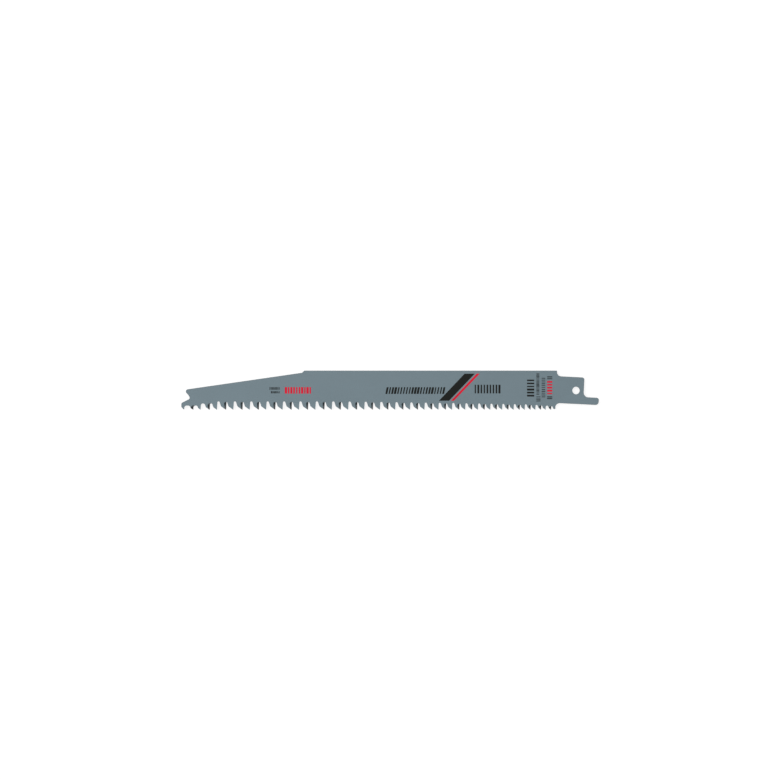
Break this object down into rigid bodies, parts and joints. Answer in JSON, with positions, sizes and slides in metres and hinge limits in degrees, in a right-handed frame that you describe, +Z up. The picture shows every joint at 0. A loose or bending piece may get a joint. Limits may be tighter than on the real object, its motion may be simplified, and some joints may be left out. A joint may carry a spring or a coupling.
{
  "type": "reciprocating saw blade",
  "caption": "Flat saw blade with a row of alternately set wood-cutting teeth, a notched nose and a tanged shank with a pin hole for a reciprocating saw's clamp",
  "frame": {"origin": "middle of the pin hole in the shank, at half the strip's thickness", "axes": "+X runs along the blade from the nose to the tail of the shank, +Y from the teeth to the back, +Z through the thickness, out of the printed side; the blade lies flat with +Z up"},
  "size_m": [0.2, 0.0188, 0.002],
  "materials": {
    "blade_steel": "satin"
  },
  "bodies": {
    "root": {"blade": "blade_steel"}
  },
  "joints": []
}
